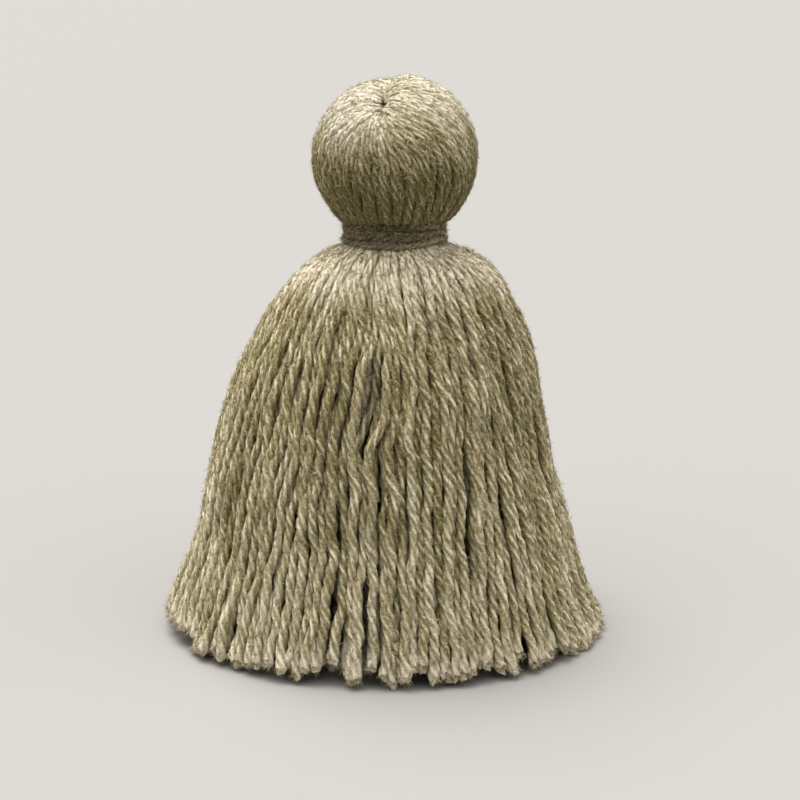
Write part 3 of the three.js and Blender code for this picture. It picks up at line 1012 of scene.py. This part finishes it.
def hairs(roots, way, off, reach, lift, thick, tone, bent=False):
    """Tapered hairs: each runs its own way, rises off the yarn and curls to one side."""
    count = len(roots)
    side = np.cross(way, off)
    curl = chance.normal(0, HAIR_CURL, (count, 1)) * side
    tip = roots + reach * (0.9 * way + lift * off + curl)
    tip[:, 2] = np.maximum(tip[:, 2], 0)
    along = unit(tip - roots)
    across = unit(np.cross(along, side + 0.01))
    out = np.cross(along, across)
    turn = np.arange(3)[:, None] * 2 * math.pi / 3
    ring = (np.cos(turn) * across[:, None] + np.sin(turn) * out[:, None]) * thick[:, None]
    if bent:
        bend = chance.normal(0, BEND_CURL, (count, 1)) * side
        middle = roots + reach * (BEND_WAY * way + BEND_LIFT * lift * off + bend)
        rows = [roots[:, None] + ring, middle[:, None] + BEND_THICK * ring, tip[:, None]]
        quads = np.array([(0, 1, 4, 3), (1, 2, 5, 4), (2, 0, 3, 5)])
        ends = np.array([(3, 4, 6), (4, 5, 6), (5, 3, 6), (2, 1, 0)])
    else:
        rows = [roots[:, None] + ring, tip[:, None]]
        quads = np.zeros((0, 4), int)
        ends = np.array([(0, 1, 3), (1, 2, 3), (2, 0, 3), (2, 1, 0)])
    points = np.concatenate(rows, 1)
    points[..., 2] = np.maximum(points[..., 2], 0)
    each = points.shape[1]
    base = each * np.arange(count)[:, None, None]
    spots = np.stack([np.arange(each) % 3 / 2, np.arange(each) // 3 / 2], -1)
    uv = [np.tile(spots[faces].reshape(-1, 2), (count, 1)) for faces in (quads, ends)]
    return {
        "points": points.reshape(-1, 3),
        "quads": (base + quads).reshape(-1, 4),
        "ends": (base + ends).reshape(-1, 3),
        "uv": np.concatenate(uv),
        "tone": np.repeat(tone, each, 1).ravel(),
        "front": np.zeros(count * each),
    }


def stray_hairs(lay, count, above=-1, below=200, lengths=HAIR_LENGTHS, rise=HAIR_RISE, bent=False):
    """Hairs all along some strands between two heights, rooted on their outer sides."""
    routes, across, thick = lay
    height = routes[..., 2]
    places = np.argwhere((height > above) & (height < below))
    strand, step = places[chance.integers(0, len(places), count)].T
    step = np.clip(step, 1, routes.shape[1] - 2)
    along = unit(routes[strand, step + 1] - routes[strand, step - 1])
    across = np.broadcast_to(across, routes.shape)[strand, step]
    out = unit(np.cross(along, across))
    turn = chance.normal(0, 0.8, (count, 1))
    off = unit(np.cos(turn) * out + np.sin(turn) * unit(across))
    roots = routes[strand, step] + HAIR_ROOT * thick[strand, step][:, None] * off
    roots = roots + chance.uniform(-0.4, 0.4, (count, 1)) * along
    lean = chance.normal(0, 1.0, (count, 1)) * np.cross(along, off)
    way = unit(along * chance.choice([-1.0, 1.0], (count, 1)) + lean)
    reach = chance.uniform(*lengths, (count, 1))
    lift = chance.normal(0.6 * rise, rise, (count, 1))
    weight = chance.uniform(*HAIR_THICK, (count, 1))
    tone = chance.uniform(-0.6, 0.8, (count, 1))
    return hairs(roots, way, off, reach, lift, weight, tone, bent)


def end_brushes(lay, each):
    """The fibres that stand out at the cut ends of strands, shorter at the tabletop."""
    routes, across, thick = lay
    strand = np.repeat(np.arange(len(routes)), each)
    count = len(strand)
    along = unit(routes[strand, -1] - routes[strand, -3])
    across = np.broadcast_to(across, routes.shape)[strand, -1]
    turn = chance.uniform(0, 2 * math.pi, (count, 1))
    off = unit(np.cos(turn) * np.cross(along, across) + np.sin(turn) * across)
    apart = thick[strand, -1][:, None] * chance.uniform(0.2, 1.0, (count, 1))
    roots = routes[strand, -1] + apart * off - chance.uniform(0.3, 1.6, (count, 1)) * along
    way = unit(along + chance.uniform(-0.1, 0.4, (count, 1)) * off)
    reach = chance.uniform(*BRUSH_LENGTHS, (count, 1))
    end_height = roots[:, 2:] + reach * way[:, 2:]
    reach = reach * np.where(end_height < 0.1, 0.45, 1.0)
    lift = chance.uniform(0, 0.25, (count, 1))
    weight = chance.uniform(*BRUSH_THICK, (count, 1))
    tone = chance.uniform(0, 1, (count, 1))
    return hairs(roots, way, off, reach, lift, weight, tone)


def stray_material():
    """Single fibres: pale and dull, each in its own tone."""
    material, shade = new_material("stray_fibres")
    tone = shade.node("ShaderNodeAttribute", {"attribute_name": "tone"}, output=2)
    colour = shade.blend(tone.clamped(), FIBRE_DEEP, FIBRE_PALE)
    fibre = shade.node(
        "ShaderNodeBsdfPrincipled",
        None,
        {"Base Color": colour, "Roughness": 0.85, "Specular IOR Level": 0.3},
    )
    shade.node("ShaderNodeOutputMaterial", None, {"Surface": fibre})
    return material


stray_wool = stray_material()
face, second, third = skirt_lays[:3]
head_hairs = [
    stray_hairs(head_lay, 16000, lengths=(0.4, 1.5)),
    stray_hairs(head_lay, 900, lengths=(0.6, 1.4), rise=BENT_RISE, bent=True),
]
join_yarns("head_fuzz", head_hairs, stray_wool, "yarn_hank")
upper_hairs = [
    stray_hairs(face, 23000, above=UPPER_FROM, below=UPPER_TO),
    stray_hairs(second, 9000, above=UPPER_FROM, below=66),
    stray_hairs(face, 1000, UPPER_FROM, UPPER_TO, BENT_LENGTHS, BENT_RISE, bent=True),
]
join_yarns("upper_skirt_fuzz", upper_hairs, stray_wool, "yarn_hank")
lower_hairs = [
    stray_hairs(face, 16000, below=UPPER_FROM),
    stray_hairs(second, 13000, below=UPPER_FROM),
    stray_hairs(third, 4000, below=50),
    stray_hairs(face, 1000, -1, UPPER_FROM, BENT_LENGTHS, BENT_RISE, bent=True),
]
join_yarns("lower_skirt_fuzz", lower_hairs, stray_wool, "yarn_hank")
brushes = [end_brushes(lay, each) for lay, each in zip(skirt_lays, BRUSH_HAIRS)]
join_yarns("cut_end_fuzz", brushes, stray_wool, "yarn_hank")
wound_hairs = stray_hairs(wound_lay, 4500, lengths=(0.5, 1.6), rise=0.16)
join_yarns("winding_fuzz", [wound_hairs], stray_wool, "neck_binding")
